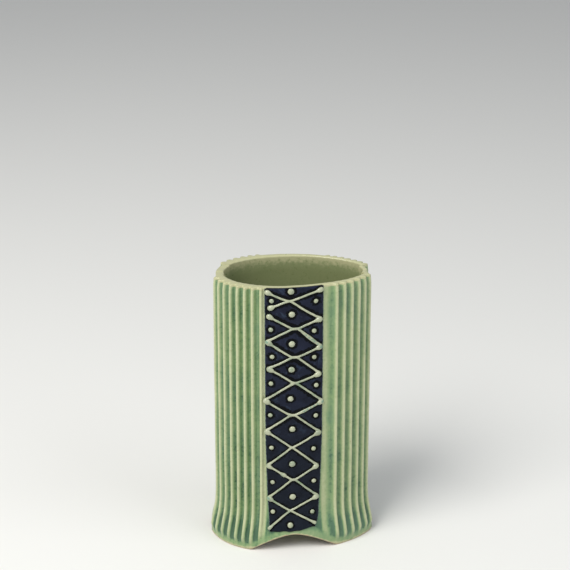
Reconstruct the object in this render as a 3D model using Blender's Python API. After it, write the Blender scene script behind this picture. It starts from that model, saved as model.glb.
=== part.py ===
"""Brush holder pot: ribbed oval stoneware with a navy lattice panel, in metres, standing on z = 0."""

import math

import bmesh
import bpy
from mathutils import Vector

# Overall form, measured over the rib crests at the rim
HEIGHT = 0.166
HALF_WIDTH = 0.0464
HALF_DEPTH = 0.0284
DEPTH_SKEW = 0.14  # the left side is deeper and the right side shallower by this share
LEAN = 0.0013  # how far the walls lean out from the rim down
LEAN_POWER = 1.2
FLARE = 0.0044
FLARE_HEIGHT = 0.0163  # height over which the foot turns outwards
FLARE_POWER = 2.4

# Walls
WALL = 0.0037
WALL_SKEW = 0.0010  # the left wall is thicker and the right wall thinner by this
RIM_ROUND = 0.0011
FOOT_ROUND = 0.0005
SEAM_GAP = 0.00042  # between a wall slab and a seam band, at the outer face
GAP = 0.0003  # between any two touching pieces

# Ribs and the smooth bands between them, as lengths along the crest line
RIB_PITCH = 0.0047
RIB_HEIGHT = 0.0022
RIB_FADE = 0.008  # height over which the ribs rise out of the foot
RIDGE_SHARE = 0.6  # height of the lone ridge beside the panel, as a share of a rib's
RIDGE_INNER = 0.0178
RIDGE_WIDTH = 0.0027
RIDGE_GAP = 0.0010
FRONT_BAND_RIGHT = 0.0221
LEFT_BAND_FORWARD = 0.0061  # from the widest point of the plan towards the front
LEFT_BAND_BACKWARD = 0.0125
LEFT_RECESS = 0.0008  # how far the side band is set in behind the grooves of the slabs
RIGHT_BAND_FORWARD = 0.0077
RIGHT_BAND_BACKWARD = 0.0085
RIGHT_RECESS = 0.0020
RECESS_REACH = 0.0045  # how far past a side band the floor keeps clear of it
BACK_BAND_LEFT = 0.0183
BACK_BAND_RIGHT = 0.0203
BAND_STEPS = 6
RIB_PROFILE = (0.0, 0.62, 1.0, 0.62)  # from one groove to the next
RIM_RIB_SHARE = 0.8  # how much of a rib's height is left at the rim
OUTER_ROWS = (0.005, 0.018, 0.036, 0.055, 0.075, 0.1, 0.14, 0.2, 0.3, 0.42, 0.56, 0.7, 0.85, 0.94)
INNER_ROWS = (0.8, 0.55, 0.35, 0.22, 0.15, 0.11, 0.08, 0.05)
LENGTH_STEPS = 720
RING_STEPS = 64

# Arches in the lower edge
FRONT_ARCH_RISE = 0.0107
FRONT_ARCH_HALF = 0.0240
SIDE_ARCH_RISE = 0.0068
SIDE_ARCH_MARGIN = 0.0011
ARCH_POWER = 1.7
ARCH_SOFT = 0.0010  # rounding where an arch runs out into a foot

# Floor
FLOOR_OVER_ARCH = 0.0028
FLOOR_THICK = 0.0045
COIL_RADIUS = 0.0036
COIL_EDGE = 0.0005
COIL_SINK = 0.0006  # depth of the step in the slab's edge that takes the coil

# Navy panel and its slip decoration
PANEL_MARGIN = 0.0003  # from the panel to the lone ridge
PANEL_TAPER = 0.0026
PANEL_TAPER_TOP = 0.080
PANEL_TAPER_POWER = 1.5
PANEL_CELLS = (12, 36)  # across and up
PANEL_OVER_ARCH = 0.0018
PANEL_UNDER_RIM = 0.0016
PANEL_THICK = 0.0007
CROSSES = 8
LATTICE_INSET = 0.0016
LATTICE_TAPER = 0.0010
LATTICE_UNDER_TOP = 0.0006
LATTICE_OVER_BOTTOM = 0.0006
LATTICE_GROWTH = 0.00033  # each crossing is taller than the one above it by twice this
STROKE_HALF = 0.00062
STROKE_END_HALF = 0.00105
STROKE_END = 0.4  # share of an arm over which it swells
STROKE_TIP = 0.7  # width of the very end, as a share of the swollen width
STROKE_CELLS = 6
STROKE_RISE = 0.0009
STROKE_SHOULDER = 0.35  # how far the sides of a stroke drop below its middle, as a share of its rise
CENTRE_BEAD = 0.0017
CENTRE_BEAD_X = -0.0010
SIDE_BEAD = 0.00128
SIDE_BEAD_INSET = 0.0024
BEAD_RISE = 0.0011
BEAD_SEGMENTS = 12


def clear_scene():
    for obj in list(bpy.data.objects):
        bpy.data.objects.remove(obj, do_unlink=True)


def material(name, colour, roughness, coat=0.0):
    mat = bpy.data.materials.new(name)
    mat.use_nodes = True
    shader = mat.node_tree.nodes["Principled BSDF"]
    shader.inputs["Base Color"].default_value = (*colour, 1.0)
    shader.inputs["Roughness"].default_value = roughness
    shader.inputs["Coat Weight"].default_value = coat
    return mat


def finish(name, bm, mat, smooth=True):
    bm.normal_update()
    bmesh.ops.recalc_face_normals(bm, faces=bm.faces)
    for face in bm.faces:
        face.smooth = smooth
    mesh = bpy.data.meshes.new(name)
    bm.to_mesh(mesh)
    bm.free()
    obj = bpy.data.objects.new(name, mesh)
    obj.data.materials.append(mat)
    bpy.context.scene.collection.objects.link(obj)
    return obj


def spread(z):
    """How far the plan grows at a height: nearly straight walls that turn outwards at the foot."""
    lean = LEAN * (1.0 - (z / HEIGHT) ** LEAN_POWER)
    return lean + FLARE * math.exp(-((z / FLARE_HEIGHT) ** FLARE_POWER))


def plan_point(phi, z, offset):
    """A point of the plan. phi is zero at the front and grows to the right."""
    grow = spread(z) + offset
    x = (HALF_WIDTH + grow) * math.sin(phi)
    y = -(HALF_DEPTH + grow) * math.cos(phi) * (1.0 - DEPTH_SKEW * math.sin(phi))
    return Vector((x, y, z))


def front_point(x, z, lift):
    """A point on the smooth front band, raised off it by lift."""
    phi = math.asin(x / (HALF_WIDTH + spread(z) - RIB_HEIGHT + lift))
    return plan_point(phi, z, lift - RIB_HEIGHT)


def crest_lengths():
    """Angles from the front centre to the back centre, each with its length along an even oval."""
    step = math.pi / LENGTH_STEPS
    pairs = [(0.0, 0.0)]
    for i in range(LENGTH_STEPS):
        middle = (i + 0.5) * step
        speed = math.hypot(HALF_WIDTH * math.cos(middle), HALF_DEPTH * math.sin(middle))
        pairs.append(((i + 1) * step, pairs[-1][1] + speed * step))
    return pairs


CREST_LENGTHS = crest_lengths()
BACK = CREST_LENGTHS[-1][1]  # length from the front centre to the back centre
SIDE = 0.5 * BACK  # length from the front centre to the widest point

RIDGE_OUTER = RIDGE_INNER + RIDGE_WIDTH
FRONT_BAND_LEFT = RIDGE_OUTER + RIDGE_GAP
LEFT_BAND = (SIDE - LEFT_BAND_FORWARD, SIDE + LEFT_BAND_BACKWARD)
RIGHT_BAND = (SIDE - RIGHT_BAND_FORWARD, SIDE + RIGHT_BAND_BACKWARD)


def angle_at(length):
    """The angle at a length along the crest line, negative to the left of the front centre."""
    wanted = min(abs(length), BACK)
    for (a0, s0), (a1, s1) in zip(CREST_LENGTHS, CREST_LENGTHS[1:]):
        if s1 >= wanted:
            return math.copysign(a0 + (a1 - a0) * (wanted - s0) / (s1 - s0), length)
    return math.copysign(math.pi, length)


def arch_rise(length):
    """Height of the lower edge above the table."""
    along = abs(length)
    band = LEFT_BAND if length < 0.0 else RIGHT_BAND
    side_half = 0.5 * (band[1] - band[0]) - SIDE_ARCH_MARGIN
    arches = (
        (along, FRONT_ARCH_HALF, FRONT_ARCH_RISE),
        (BACK - along, FRONT_ARCH_HALF, FRONT_ARCH_RISE),
        (abs(along - 0.5 * (band[0] + band[1])), side_half, SIDE_ARCH_RISE),
    )
    highest = max(rise * (1.0 - (distance / half) ** ARCH_POWER) for distance, half, rise in arches)
    softened = 0.5 * (highest + math.hypot(highest, ARCH_SOFT)) - 0.1 * ARCH_SOFT
    return max(0.0, softened)


def rib_columns(start, end, tall=1.0, count=None):
    """Lengths and rib heights across a run of ribs, leaving out its far end."""
    count = count or max(1, round(abs(end - start) / RIB_PITCH))
    pitch = (end - start) / count
    parts = [(k / len(RIB_PROFILE), tall * up) for k, up in enumerate(RIB_PROFILE)]
    return [(start + pitch * (i + part), up) for i in range(count) for part, up in parts]


def band_columns(start, end, steps=BAND_STEPS):
    """Lengths across a smooth band, leaving out its far end."""
    return [(start + (end - start) * i / steps, 0.0) for i in range(steps)]


def wall_thickness(phi):
    return WALL - WALL_SKEW * math.sin(phi)


def wall_section(length, rib, recess=0.0):
    """The closed outline of a wall at one place along the crest line, from outer foot over the rim."""
    phi = angle_at(length)
    low = arch_rise(length)
    groove = -RIB_HEIGHT - recess
    outline = [(low, groove - FOOT_ROUND)]
    for part in OUTER_ROWS:
        z = low + (HEIGHT - low) * part
        fade = min(1.0, (z - low) / RIB_FADE)
        outline.append((z, groove + RIB_HEIGHT * rib * fade))
    crest = groove + RIB_HEIGHT * RIM_RIB_SHARE * rib
    outline.append((HEIGHT - RIM_ROUND, crest))
    outline.append((HEIGHT, crest - RIM_ROUND))
    inner = groove - wall_thickness(phi)
    outline.append((HEIGHT, inner + RIM_ROUND))
    outline.append((HEIGHT - RIM_ROUND, inner))
    for part in INNER_ROWS:
        outline.append((low + (HEIGHT - low) * part, inner))
    outline.append((low, inner + FOOT_ROUND))
    return [plan_point(phi, z, offset) for z, offset in outline]


def wall_slab(name, columns, mat, recess=0.0):
    """A wall made by joining section outlines side by side and closing both ends."""
    bm = bmesh.new()
    rings = [[bm.verts.new(point) for point in wall_section(length, rib, recess)] for length, rib in columns]
    for ring, following in zip(rings, rings[1:]):
        for i in range(len(ring)):
            j = (i + 1) % len(ring)
            bm.faces.new((ring[i], ring[j], following[j], following[i]))
    bm.faces.new(rings[0])
    bm.faces.new(rings[-1])
    bmesh.ops.triangulate(bm, faces=[face for face in bm.faces if len(face.verts) > 4])
    return finish(name, bm, mat)


def make_front_wall(mat):
    columns = rib_columns(-LEFT_BAND[0], -FRONT_BAND_LEFT)
    columns.append((-FRONT_BAND_LEFT, 0.0))
    columns += rib_columns(-RIDGE_OUTER, -RIDGE_INNER, RIDGE_SHARE, 1)
    columns += band_columns(-RIDGE_INNER, FRONT_BAND_RIGHT, 2 * BAND_STEPS)
    columns += rib_columns(FRONT_BAND_RIGHT, RIGHT_BAND[0])
    columns.append((RIGHT_BAND[0], 0.0))
    return wall_slab("front_wall", columns, mat)


def make_back_wall(mat):
    columns = rib_columns(RIGHT_BAND[1], BACK - BACK_BAND_RIGHT)
    columns += band_columns(BACK - BACK_BAND_RIGHT, BACK)
    columns += band_columns(-BACK, BACK_BAND_LEFT - BACK)
    columns += rib_columns(BACK_BAND_LEFT - BACK, -LEFT_BAND[1])
    columns.append((-LEFT_BAND[1], 0.0))
    return wall_slab("back_wall", columns, mat)


def make_seam_band(name, start, end, recess, mat):
    gap = math.copysign(SEAM_GAP, end - start)
    columns = band_columns(start + gap, end - gap)
    columns.append((end - gap, 0.0))
    return wall_slab(name, columns, mat, recess)


FLOOR_TOP = FRONT_ARCH_RISE + FLOOR_OVER_ARCH + FLOOR_THICK


def recess_at(phi):
    """How much further in the floor ends near a side band."""
    band, recess = (LEFT_BAND, LEFT_RECESS) if phi < 0.0 else (RIGHT_BAND, RIGHT_RECESS)
    start, end = angle_at(band[0] - RECESS_REACH), angle_at(band[1] + RECESS_REACH)
    past = max(start - abs(phi), abs(phi) - end, 0.0)
    return recess * max(0.0, 1.0 - past * HALF_DEPTH / RECESS_REACH)


def inner_point(phi, z, clearance):
    """A point just inside the inner face of the walls."""
    return plan_point(phi, z, -RIB_HEIGHT - wall_thickness(phi) - recess_at(phi) - clearance)


def ring_angles():
    return [2.0 * math.pi * i / RING_STEPS - math.pi for i in range(RING_STEPS)]


def make_floor_slab(mat):
    """An oval slab with a shallow step round its upper edge for the coil."""
    step = FLOOR_TOP - COIL_SINK
    inside_coil = COIL_RADIUS + 2.0 * GAP
    bm = bmesh.new()
    levels = ((FLOOR_TOP - FLOOR_THICK, GAP), (step, GAP), (step, inside_coil), (FLOOR_TOP, inside_coil))
    rings = [[bm.verts.new(inner_point(phi, z, inward)) for phi in ring_angles()] for z, inward in levels]
    bm.faces.new(rings[0])
    bm.faces.new(rings[-1])
    for ring, following in zip(rings, rings[1:]):
        for i in range(RING_STEPS):
            j = (i + 1) % RING_STEPS
            bm.faces.new((ring[i], ring[j], following[j], following[i]))
    return finish("floor_slab", bm, mat, smooth=False)


def make_floor_coil(mat):
    """A hollow-faced fillet of clay pressed into the corner of floor and wall."""
    hollow = COIL_RADIUS - COIL_EDGE
    far = GAP + COIL_RADIUS
    section = [(GAP, 0.0), (GAP, COIL_RADIUS)]
    for i in range(5):
        turn = i * math.pi / 8
        section.append((far - hollow * math.cos(turn), COIL_RADIUS - hollow * math.sin(turn)))
    section.append((far, 0.0))
    base = FLOOR_TOP - COIL_SINK + GAP
    bm = bmesh.new()
    rings = []
    for phi in ring_angles():
        rings.append([bm.verts.new(inner_point(phi, base + up, inward)) for inward, up in section])
    for i in range(len(rings)):
        ring = rings[i]
        following = rings[(i + 1) % len(rings)]
        for k in range(len(section)):
            m = (k + 1) % len(section)
            bm.faces.new((ring[k], ring[m], following[m], following[k]))
    return finish("floor_coil", bm, mat)


PANEL_TOP = HEIGHT - PANEL_UNDER_RIM
PANEL_BOTTOM = FRONT_ARCH_RISE + PANEL_OVER_ARCH
PANEL_BASE = GAP  # lift of the panel's back off the band
DECORATION_BASE = PANEL_BASE + PANEL_THICK + GAP  # lift of the slip work's back off the band
BAND_HALF_WIDTH = HALF_WIDTH - RIB_HEIGHT
PANEL_HALF = BAND_HALF_WIDTH * math.sin(angle_at(RIDGE_INNER)) - PANEL_MARGIN


def panel_half(z):
    """Half the panel's width at a height: it narrows towards the foot."""
    low = max(0.0, 1.0 - z / PANEL_TAPER_TOP)
    return PANEL_HALF - PANEL_TAPER * low**PANEL_TAPER_POWER


def make_panel(mat):
    """The navy glaze field: a thin sheet that follows the front band."""
    bm = bmesh.new()
    bmesh.ops.create_grid(bm, x_segments=PANEL_CELLS[0], y_segments=PANEL_CELLS[1], size=1.0)
    for vert in bm.verts:
        z = PANEL_BOTTOM + (PANEL_TOP - PANEL_BOTTOM) * 0.5 * (vert.co.y + 1.0)
        x = vert.co.x * panel_half(z)
        vert.co = Vector((x, z, PANEL_BASE))
    top = bmesh.ops.extrude_face_region(bm, geom=bm.faces[:])
    bmesh.ops.translate(bm, vec=(0.0, 0.0, PANEL_THICK), verts=verts_of(top))
    bend_on_front(bm)
    return finish("navy_panel", bm, mat)


def verts_of(result):
    return [item for item in result["geom"] if isinstance(item, bmesh.types.BMVert)]


def bend_on_front(bm):
    """Lays flat work onto the front band: x stays, y becomes height, z becomes lift."""
    for vert in bm.verts:
        vert.co = front_point(vert.co.x, vert.co.y, vert.co.z)


LATTICE_TOP = PANEL_TOP - LATTICE_UNDER_TOP
LATTICE_BOTTOM = PANEL_BOTTOM + LATTICE_OVER_BOTTOM
LATTICE_STEP = (LATTICE_TOP - LATTICE_BOTTOM) / CROSSES - LATTICE_GROWTH * CROSSES


def node_height(i):
    """Height of the i-th row of lattice nodes, counted from the top."""
    return LATTICE_TOP - LATTICE_STEP * i - LATTICE_GROWTH * i * i


def lattice_half(z):
    return PANEL_HALF - LATTICE_INSET - LATTICE_TAPER * (1.0 - z / HEIGHT)


def stroke_arm(bm, centre, start, end, crotch):
    """One arm of a cross, two cells wide, with its middle line raised; it joins the raised centre."""
    along = (end - start).normalized()
    side = Vector((-along.y, along.x, 0.0))
    previous = (crotch[0], centre, crotch[1])
    drop = Vector((0.0, 0.0, -STROKE_SHOULDER * STROKE_RISE))
    for i in range(1, STROKE_CELLS + 1):
        share = i / STROKE_CELLS
        swell = max(0.0, 1.0 - (1.0 - share) / STROKE_END)
        half = STROKE_HALF + (STROKE_END_HALF - STROKE_HALF) * swell
        if i == STROKE_CELLS:
            half *= STROKE_TIP
        spot = start.lerp(end, share)
        ridge = bm.verts.new(spot + (drop if i == STROKE_CELLS else Vector()))
        row = (bm.verts.new(spot + side * half + drop), ridge, bm.verts.new(spot - side * half + drop))
        bm.faces.new((previous[0], previous[1], row[1], row[0]))
        bm.faces.new((previous[1], previous[2], row[2], row[1]))
        previous = row


def make_cross(i, mat):
    """A slip-trailed X between two rows of lattice nodes."""
    top = node_height(i) - 0.5 * GAP - STROKE_END_HALF
    bottom = node_height(i + 1) + 0.5 * GAP + STROKE_END_HALF
    middle = 0.5 * (top + bottom)
    crest = DECORATION_BASE + STROKE_RISE
    bm = bmesh.new()
    centre = Vector((0.0, middle, crest))
    ends = [
        Vector((lattice_half(top), top, crest)),
        Vector((-lattice_half(top), top, crest)),
        Vector((-lattice_half(bottom), bottom, crest)),
        Vector((lattice_half(bottom), bottom, crest)),
    ]
    slope = math.atan2(ends[0].y - centre.y, ends[0].x)
    drop = Vector((0.0, 0.0, -STROKE_SHOULDER * STROKE_RISE))
    beside = STROKE_HALF / math.sin(slope)
    above = STROKE_HALF / math.cos(slope)
    offsets = (Vector((beside, 0, 0)), Vector((0, above, 0)), Vector((-beside, 0, 0)), Vector((0, -above, 0)))
    crotches = [bm.verts.new(centre + offset + drop) for offset in offsets]
    hub = bm.verts.new(centre)
    for k, end in enumerate(ends):
        stroke_arm(bm, hub, centre, end, (crotches[(k + 1) % 4], crotches[k]))
    skirt = bmesh.ops.extrude_face_region(bm, geom=bm.faces[:])
    for vert in verts_of(skirt):
        vert.co.z = DECORATION_BASE
    bend_on_front(bm)
    return finish(f"lattice_cross_{i + 1}", bm, mat)


def make_bead(name, x, z, radius, mat):
    """A domed bead of slip on the panel."""
    bm = bmesh.new()
    bmesh.ops.create_uvsphere(bm, u_segments=BEAD_SEGMENTS, v_segments=BEAD_SEGMENTS // 2, radius=1.0)
    geom = bm.verts[:] + bm.edges[:] + bm.faces[:]
    bmesh.ops.bisect_plane(bm, geom=geom, plane_co=(0, 0, 0.001), plane_no=(0, 0, -1), clear_outer=True)
    bmesh.ops.edgeloop_fill(bm, edges=[edge for edge in bm.edges if edge.is_boundary])
    for vert in bm.verts:
        lift = DECORATION_BASE + max(vert.co.z, 0.0) * BEAD_RISE
        vert.co = Vector((x + vert.co.x * radius, z + vert.co.y * radius, lift))
    bend_on_front(bm)
    return finish(name, bm, mat)


def make_beads(mat):
    highest = PANEL_TOP - CENTRE_BEAD
    lowest = PANEL_BOTTOM + CENTRE_BEAD + GAP
    for i in range(CROSSES + 1):
        z = min(highest, max(lowest, node_height(i)))
        make_bead(f"centre_bead_{i + 1}", CENTRE_BEAD_X, z, CENTRE_BEAD, mat)
    for i in range(CROSSES):
        z = 0.5 * (node_height(i) + node_height(i + 1))
        x = lattice_half(z) - SIDE_BEAD_INSET
        make_bead(f"left_bead_{i + 1}", -x, z, SIDE_BEAD, mat)
        make_bead(f"right_bead_{i + 1}", x, z, SIDE_BEAD, mat)


def main():
    clear_scene()
    celadon = (0.42, 0.47, 0.27)
    make_front_wall(material("celadon_front", celadon, 0.22, 0.6))
    make_back_wall(material("celadon_back", celadon, 0.22, 0.6))
    left = material("celadon_left", celadon, 0.25, 0.6)
    right = material("celadon_right", celadon, 0.25, 0.6)
    make_seam_band("left_seam_band", -LEFT_BAND[0], -LEFT_BAND[1], LEFT_RECESS, left)
    make_seam_band("right_seam_band", RIGHT_BAND[0], RIGHT_BAND[1], RIGHT_RECESS, right)
    make_floor_slab(material("celadon_floor", (0.30, 0.33, 0.18), 0.35, 0.3))
    make_floor_coil(material("celadon_coil", (0.32, 0.35, 0.19), 0.35, 0.3))
    make_panel(material("navy_glaze", (0.006, 0.009, 0.02), 0.08, 1.0))
    slip = material("pale_slip", (0.40, 0.46, 0.32), 0.3, 0.5)
    for i in range(CROSSES):
        make_cross(i, slip)
    make_beads(material("bead_slip", (0.42, 0.47, 0.33), 0.3, 0.5))


main()
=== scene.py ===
import math
from types import SimpleNamespace

import bmesh
import bpy
import numpy as np
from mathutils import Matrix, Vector, noise


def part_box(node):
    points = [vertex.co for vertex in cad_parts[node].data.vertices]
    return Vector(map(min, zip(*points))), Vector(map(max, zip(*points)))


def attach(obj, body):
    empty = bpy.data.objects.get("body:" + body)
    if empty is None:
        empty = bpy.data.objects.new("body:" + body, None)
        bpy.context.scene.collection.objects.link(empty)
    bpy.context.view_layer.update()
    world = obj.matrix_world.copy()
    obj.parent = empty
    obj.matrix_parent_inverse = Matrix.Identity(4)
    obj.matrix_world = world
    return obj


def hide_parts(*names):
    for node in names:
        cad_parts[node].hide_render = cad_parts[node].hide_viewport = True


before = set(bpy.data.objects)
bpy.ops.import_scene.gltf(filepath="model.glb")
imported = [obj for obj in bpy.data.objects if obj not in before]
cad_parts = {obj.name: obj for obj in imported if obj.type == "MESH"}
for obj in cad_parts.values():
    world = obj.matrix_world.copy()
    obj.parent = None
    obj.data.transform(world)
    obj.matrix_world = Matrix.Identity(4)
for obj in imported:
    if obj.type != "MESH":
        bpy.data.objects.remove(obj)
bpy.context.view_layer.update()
print("frame loaded:", len(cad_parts), "nodes")

mm = 0.001

# The pot's form: an oval plan with nearly straight walls that turn outwards at the foot
pot = {
    "top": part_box("front_wall")[1].z,
    "halfWidth": 0.0464,
    "halfDepth": 0.0284,
    "skew": 0.14,
    "lean": 0.0013,
    "leanPower": 1.2,
    "flare": 0.0044,
    "flareHeight": 0.0163,
    "flarePower": 2.4,
    "wall": 0.0037,
    "wallSkew": 0.0010,
    "rib": 0.0022,
    "ribPitch": 0.0047,
    "leftRecess": 0.0008,
    "rightRecess": 0.0020,
    "frontArch": 0.0107,
    "frontArchHalf": 0.0240,
    "sideArch": 0.0068,
    "archPower": 1.7,
    "archSoft": 0.0010,
}


def smoothStep(low, high, value):
    t = min(1.0, max(0.0, (value - low) / (high - low)))
    return t * t * (3.0 - 2.0 * t)


def wobble(x, y, seed):
    return noise.noise(Vector((x, y, seed * 7.31)))


def spreadAt(z):
    up = max(z, 0.0)
    lean = pot["lean"] * (1.0 - (up / pot["top"]) ** pot["leanPower"])
    return lean + pot["flare"] * math.exp(-((up / pot["flareHeight"]) ** pot["flarePower"]))


def planPoint(phi, z, offset):
    # phi is zero at the front; offset zero is the level of the rib crests
    grow = spreadAt(z) + offset
    x = (pot["halfWidth"] + grow) * math.sin(phi)
    y = -(pot["halfDepth"] + grow) * math.cos(phi) * (1.0 - pot["skew"] * math.sin(phi))
    return Vector((x, y, z))


def frontPoint(x, z, lift):
    # a point over the smooth front band
    phi = math.asin(x / (pot["halfWidth"] + spreadAt(z) - pot["rib"] + lift))
    return planPoint(phi, z, lift - pot["rib"])


# lengths along the crest line, from the front centre to the back centre
turnAt = np.linspace(0.0, math.pi, 721)
turnMid = 0.5 * (turnAt[1:] + turnAt[:-1])
turnSpeed = np.hypot(pot["halfWidth"] * np.cos(turnMid), pot["halfDepth"] * np.sin(turnMid))
lengthAt = np.concatenate([[0.0], np.cumsum(turnSpeed * math.pi / 720)])
backLength = float(lengthAt[-1])
sideLength = 0.5 * backLength

ridgeInner = 0.0178
ridgeOuter = ridgeInner + 0.0027
frontBandLeft = ridgeOuter + 0.0010
frontBandRight = 0.0221
leftBand = (sideLength - 0.0061, sideLength + 0.0125)
rightBand = (sideLength - 0.0077, sideLength + 0.0085)
backBandLeft = 0.0183
backBandRight = 0.0203


def angleAt(length):
    return math.copysign(float(np.interp(abs(length), lengthAt, turnAt)), length)


def archAt(length):
    along = abs(length)
    band = leftBand if length < 0.0 else rightBand
    arches = (
        (along, pot["frontArchHalf"], pot["frontArch"]),
        (backLength - along, pot["frontArchHalf"], pot["frontArch"]),
        (abs(along - 0.5 * (band[0] + band[1])), 0.5 * (band[1] - band[0]) - 0.0011, pot["sideArch"]),
    )
    highest = max(rise * (1.0 - (distance / half) ** pot["archPower"]) for distance, half, rise in arches)
    return max(0.0, 0.5 * (highest + math.hypot(highest, pot["archSoft"])) - 0.1 * pot["archSoft"])


# small helpers for meshes and materials

def pieceFrom(name, bm, mat, nodes):
    bm.normal_update()
    bmesh.ops.recalc_face_normals(bm, faces=bm.faces)
    mesh = bpy.data.meshes.new(name)
    bm.to_mesh(mesh)
    bm.free()
    piece = bpy.data.objects.new(name, mesh)
    mesh.materials.append(mat)
    bpy.context.scene.collection.objects.link(piece)
    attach(piece, "root")
    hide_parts(*nodes)
    return piece


def newMaterial(name):
    mat = bpy.data.materials.new(name)
    mat.use_nodes = True
    return mat, mat.node_tree, mat.node_tree.nodes["Principled BSDF"]


def addNode(tree, kind, **values):
    node = tree.nodes.new("ShaderNode" + kind)
    for key, value in values.items():
        setattr(node, key, value)
    return node


def mathNode(tree, operation, first, second=0.0, clamp=False):
    node = addNode(tree, "Math", operation=operation, use_clamp=clamp)
    for socket, value in zip(node.inputs, (first, second)):
        if isinstance(value, bpy.types.NodeSocket):
            tree.links.new(value, socket)
        else:
            socket.default_value = value
    return node.outputs[0]


def rangeNode(tree, value, low, high, toLow=0.0, toHigh=1.0, smooth=False):
    node = addNode(tree, "MapRange", interpolation_type="SMOOTHSTEP" if smooth else "LINEAR")
    tree.links.new(value, node.inputs["Value"])
    for key, number in (("From Min", low), ("From Max", high), ("To Min", toLow), ("To Max", toHigh)):
        node.inputs[key].default_value = number
    return node.outputs[0]


def noiseNode(tree, scale, detail=3.0, rough=0.5, distortion=0.0, stretch=None):
    coord = addNode(tree, "TexCoord").outputs["Object"]
    if stretch:
        mapping = addNode(tree, "Mapping")
        mapping.inputs["Scale"].default_value = stretch
        tree.links.new(coord, mapping.inputs["Vector"])
        coord = mapping.outputs[0]
    node = addNode(tree, "TexNoise")
    tree.links.new(coord, node.inputs["Vector"])
    settings = {"Scale": scale, "Detail": detail, "Roughness": rough, "Distortion": distortion}
    for key, number in settings.items():
        node.inputs[key].default_value = number
    return node.outputs["Fac"]


def cellNode(tree, scale):
    node = addNode(tree, "TexVoronoi")
    tree.links.new(addNode(tree, "TexCoord").outputs["Object"], node.inputs["Vector"])
    node.inputs["Scale"].default_value = scale
    return node.outputs["Distance"]


def attributeNode(tree, name):
    return addNode(tree, "Attribute", attribute_name=name).outputs["Fac"]


def rampNode(tree, value, stops):
    node = addNode(tree, "ValToRGB")
    ramp = node.color_ramp
    while len(ramp.elements) < len(stops):
        ramp.elements.new(0.5)
    for element, (place, colour) in zip(ramp.elements, stops):
        element.position = place
        element.color = (*colour, 1.0)
    tree.links.new(value, node.inputs["Fac"])
    return node.outputs["Color"]


def mixNode(tree, share, first, second):
    node = addNode(tree, "Mix", data_type="RGBA")
    colours = [s for s in node.inputs if s.type == "RGBA"]
    for socket, value in zip([node.inputs["Factor"], *colours], (share, first, second)):
        if isinstance(value, bpy.types.NodeSocket):
            tree.links.new(value, socket)
        elif isinstance(value, (int, float)):
            socket.default_value = value
        else:
            socket.default_value = (*value, 1.0)
    return [s for s in node.outputs if s.type == "RGBA"][0]


def bumpNode(tree, height, strength, distance, under=None):
    node = addNode(tree, "Bump")
    tree.links.new(height, node.inputs["Height"])
    node.inputs["Strength"].default_value = strength
    node.inputs["Distance"].default_value = distance
    if under:
        tree.links.new(under, node.inputs["Normal"])
    return node.outputs[0]


# celadon glaze: pale where it runs thin over a crest, deep jade where it pools

celadonLook = {
    "deep": (0.040, 0.120, 0.062),
    "pool": (0.125, 0.240, 0.106),
    "jade": (0.218, 0.340, 0.148),
    "mid": (0.300, 0.392, 0.190),
    "thin": (0.430, 0.490, 0.265),
    "crest": (0.555, 0.580, 0.345),
    "edge": (0.520, 0.500, 0.290),
    "darkClay": (0.40, 0.28, 0.17),
    "clay": (0.560, 0.420, 0.270),
    "paleClay": (0.68, 0.55, 0.38),
    "cool": (0.110, 0.240, 0.150),
    "grain": (0.20, 0.22, 0.10),
    "inside": (0.200, 0.220, 0.100),
    "speck": (0.260, 0.190, 0.080),
    "navy": (0.004, 0.006, 0.012),
    "roughness": (0.24, 0.40),
    "coat": 0.22,
    "coatRoughness": 0.12,
}


def celadonColour(tree, look, fine, darker):
    # mottled by how thin the glaze lies, with streaks that run down
    thin = attributeNode(tree, "glazeThin")
    broad = noiseNode(tree, 70.0, 4.0, 0.55)
    streak = noiseNode(tree, 420.0, 3.0, 0.6, stretch=(1.0, 1.0, 0.10))
    level = mathNode(tree, "ADD", thin, rangeNode(tree, broad, 0.3, 0.7, -0.09 - darker, 0.09 - darker))
    level = mathNode(tree, "ADD", level, rangeNode(tree, fine, 0.3, 0.7, -0.10, 0.10))
    level = mathNode(tree, "ADD", level, rangeNode(tree, streak, 0.3, 0.7, -0.07, 0.07), clamp=True)
    colour = rampNode(tree, level, [
        (0.0, look["deep"]), (0.12, look["pool"]), (0.28, look["jade"]), (0.50, look["mid"]),
        (0.76, look["thin"]), (1.0, look["crest"]),
    ])
    # a cool cast in places, from copper in the thick glaze
    cool = rangeNode(tree, noiseNode(tree, 38.0, 2.0), 0.45, 0.7, 0.0, 0.35, True)
    cool = mathNode(tree, "MULTIPLY", cool, rangeNode(tree, level, 0.25, 0.6, 1.0, 0.0))
    colour = mixNode(tree, cool, colour, look["cool"])
    # painted shade: the inside of the pot is darkened to a dark olive
    inside = attributeNode(tree, "insideFace")
    return mixNode(tree, mathNode(tree, "MULTIPLY", inside, 0.85), colour, look["inside"])


def clayMask(tree, fine):
    clay = attributeNode(tree, "bareClay")
    clay = mathNode(tree, "ADD", clay, rangeNode(tree, fine, 0.3, 0.7, -0.15, 0.15))
    return rangeNode(tree, clay, 0.42, 0.62, 0.0, 1.0, True)


def ironSpecks(tree, colour, look):
    # few and small
    speck = rangeNode(tree, cellNode(tree, 330.0), 0.05, 0.13, 1.0, 0.0, True)
    scatter = rangeNode(tree, noiseNode(tree, 160.0, 2.0), 0.56, 0.66, 0.0, 0.8)
    return mixNode(tree, mathNode(tree, "MULTIPLY", speck, scatter), colour, look["speck"])


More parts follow.
